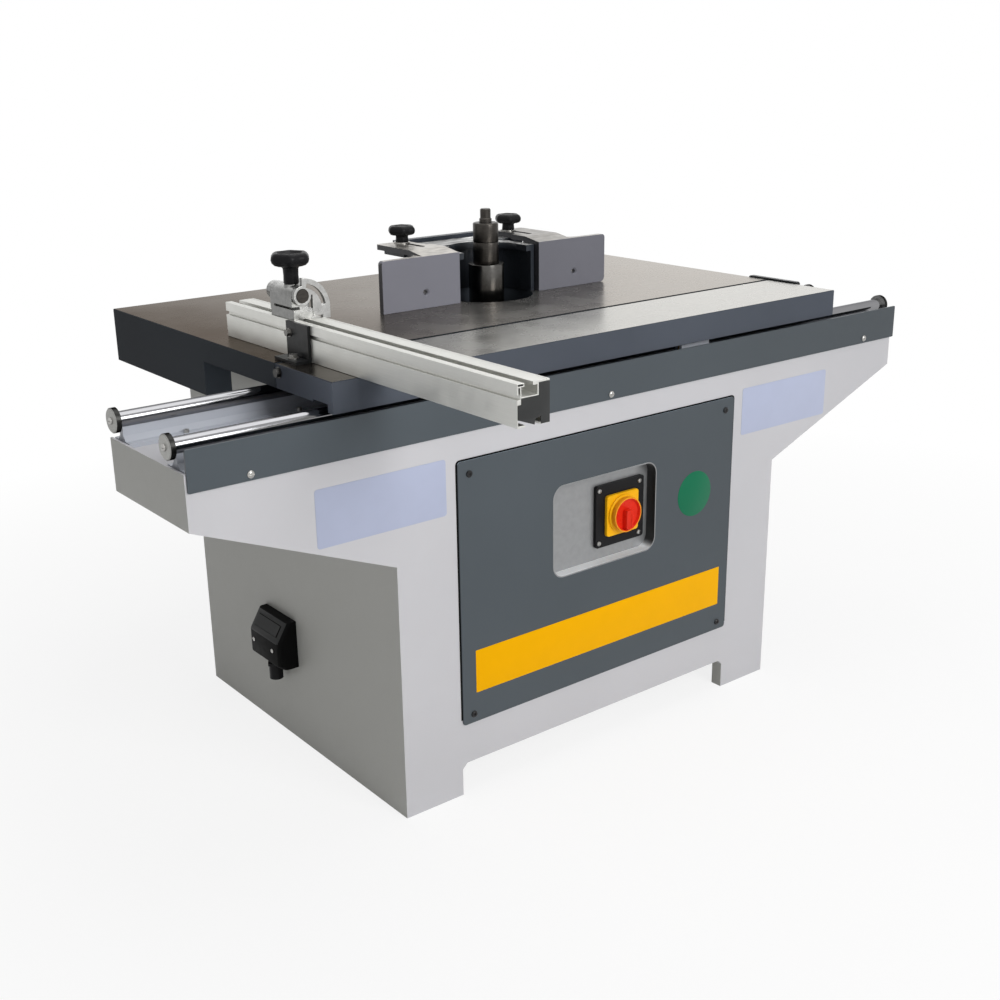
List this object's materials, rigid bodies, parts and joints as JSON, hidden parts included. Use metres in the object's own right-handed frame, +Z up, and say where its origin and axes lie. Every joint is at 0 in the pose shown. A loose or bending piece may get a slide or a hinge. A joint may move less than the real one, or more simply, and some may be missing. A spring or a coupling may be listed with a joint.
{
  "type": "spindle moulder",
  "caption": "Floor-standing spindle moulder with a cast table, a table sliding on round rails, a crosscut fence with flip stop, a hooded fence and a rising spindle.",
  "frame": {"origin": "floor level, under the middle of the whole machine's box", "axes": "+X along the rails towards the end stop, +Y from the operator's side to the back, +Z up"},
  "size_m": [1.6268, 1.179, 0.9435],
  "materials": {
    "grey_paint": "light grey powder paint, satin",
    "slate_paint": "slate grey powder paint, satin",
    "dark_paint": "blue-black paint, satin",
    "ground_iron": "ground cast iron top, painted sides",
    "cast_iron": "machined cast iron",
    "polished_steel": "ground and polished",
    "dark_steel": "oiled dark steel",
    "bright_steel": "turned steel",
    "zinc": "zinc plated",
    "aluminium": "natural anodised",
    "black_plastic": "moulded, satin",
    "yellow_plastic": "moulded",
    "red_plastic": "moulded",
    "black_rubber": "belt rubber",
    "bronze": "turned bushes"
  },
  "bodies": {
    "machine": {"front_sheet": "grey_paint", "left_sheet": "grey_paint", "right_sheet": "grey_paint", "back_sheet": "grey_paint", "left_wing": "grey_paint", "right_wing": "grey_paint", "rail_bed": "grey_paint", "rail_guard": "slate_paint", "rail_supports": "aluminium", "support_screws": "zinc", "rails": "polished_steel", "rail_caps": "dark_steel", "pan_screws": "zinc", "front_panel": "slate_paint", "panel_screws": "black_plastic", "recess_box": "zinc", "switch_plate": "black_plastic", "switch_surround": "yellow_plastic", "switch_body": "black_plastic", "inlet_box": "black_plastic", "cable_gland": "black_plastic", "fixed_table": "ground_iron", "table_end_stop": "dark_steel", "hex_bolts": "zinc", "hood": "dark_paint", "tie_bar": "bright_steel", "clamp_washers": "zinc", "guide_columns": "polished_steel", "screw_plate": "cast_iron", "shaft_bush": "bronze"},
    "sliding_table": {"sliding_table": "ground_iron", "saddles": "aluminium", "rail_bushes": "bronze", "crosscut_bracket": "dark_paint", "bracket_bolts": "zinc"},
    "crosscut_fence": {"crosscut_fence": "aluminium"},
    "flip_stop": {"stop_body": "aluminium", "stop_pin": "dark_steel"},
    "stop_arm": {"stop_arm": "aluminium"},
    "stop_knob": {"stop_knob": "black_plastic"},
    "left_fence": {"left_fence": "cast_iron"},
    "right_fence": {"right_fence": "cast_iron"},
    "left_clamp_knob": {"left_clamp_knob": "black_plastic"},
    "right_clamp_knob": {"right_clamp_knob": "black_plastic"},
    "switch_handle": {"switch_handle": "red_plastic"},
    "lift_carriage": {"lift_carriage": "cast_iron", "spindle_bearings": "bright_steel", "motor": "dark_paint", "drive_belt": "black_rubber"},
    "spindle": {"spindle_shaft": "dark_steel", "lower_collar": "bright_steel", "spacer_collar": "dark_steel", "clamp_nut": "dark_steel", "spindle_pulley": "bright_steel"},
    "motor_rotor": {"motor_shaft": "bright_steel", "motor_pulley": "cast_iron"},
    "lift_screw": {"lift_screw": "bright_steel"},
    "handwheel": {"handwheel_shaft": "bright_steel", "handwheel": "cast_iron", "wheel_handle": "black_plastic"}
  },
  "joints": [
    {"name": "table_slide", "type": "slide", "parent": "machine", "child": "sliding_table", "axis": [1, 0, 0], "range_m": [-0.45, 0]},
    {"name": "crosscut_slide", "type": "slide", "parent": "sliding_table", "child": "crosscut_fence", "axis": [0, 1, 0], "range_m": [-0.2, 0.2]},
    {"name": "stop_slide", "type": "slide", "parent": "crosscut_fence", "child": "flip_stop", "axis": [0, 1, 0], "range_m": [-0.5, 0.1]},
    {"name": "stop_flip", "type": "hinge", "parent": "flip_stop", "child": "stop_arm", "pos_m": [-0.491, -0.0285, 0.872], "axis": [0, -1, 0], "range_deg": [0, 60]},
    {"name": "stop_knob_turn", "type": "hinge", "parent": "flip_stop", "child": "stop_knob", "pos_m": [-0.491, 0.0045, 0.888], "axis": [0, 0, 1], "range_deg": [0, 360]},
    {"name": "left_fence_slide", "type": "slide", "parent": "machine", "child": "left_fence", "axis": [0, 1, 0], "range_m": [-0.004, 0.06]},
    {"name": "right_fence_slide", "type": "slide", "parent": "machine", "child": "right_fence", "axis": [0, 1, 0], "range_m": [-0.004, 0.06]},
    {"name": "left_knob_turn", "type": "hinge", "parent": "machine", "child": "left_clamp_knob", "pos_m": [-0.0615, 0.3205, 0.88], "axis": [0, 0, 1], "range_deg": [0, 360]},
    {"name": "right_knob_turn", "type": "hinge", "parent": "machine", "child": "right_clamp_knob", "pos_m": [0.2055, 0.3205, 0.88], "axis": [0, 0, 1], "range_deg": [0, 360]},
    {"name": "switch_turn", "type": "hinge", "parent": "machine", "child": "switch_handle", "pos_m": [0.0425, -0.2155, 0.436], "axis": [0, 1, 0], "range_deg": [0, 90]},
    {"name": "spindle_lift", "type": "slide", "parent": "machine", "child": "lift_carriage", "axis": [0, 0, 1], "range_m": [-0.08, 0.02]},
    {"name": "spindle_spin", "type": "hinge", "parent": "lift_carriage", "child": "spindle", "pos_m": [0.072, 0.2245, 0.8], "axis": [0, 0, 1], "continuous": true},
    {"name": "motor_spin", "type": "hinge", "parent": "lift_carriage", "child": "motor_rotor", "pos_m": [-0.17, 0.2245, 0.4], "axis": [0, 0, 1], "continuous": true},
    {"name": "lift_screw_turn", "type": "hinge", "parent": "machine", "child": "lift_screw", "pos_m": [0.072, 0.3295, 0.4], "axis": [0, 0, 1], "range_deg": [-5800, 1460]},
    {"name": "handwheel_turn", "type": "hinge", "parent": "machine", "child": "handwheel", "pos_m": [0.44, 0.3295, 0.24], "axis": [1, 0, 0], "range_deg": [-1460, 5800]}
  ],
  "couplings": [
    {"joint": "motor_spin", "follows": "spindle_spin", "ratio": 0.4},
    {"joint": "lift_screw_turn", "follows": "spindle_lift", "rad_per_m": 1256.6},
    {"joint": "handwheel_turn", "follows": "spindle_lift", "rad_per_m": -1256.6}
  ]
}
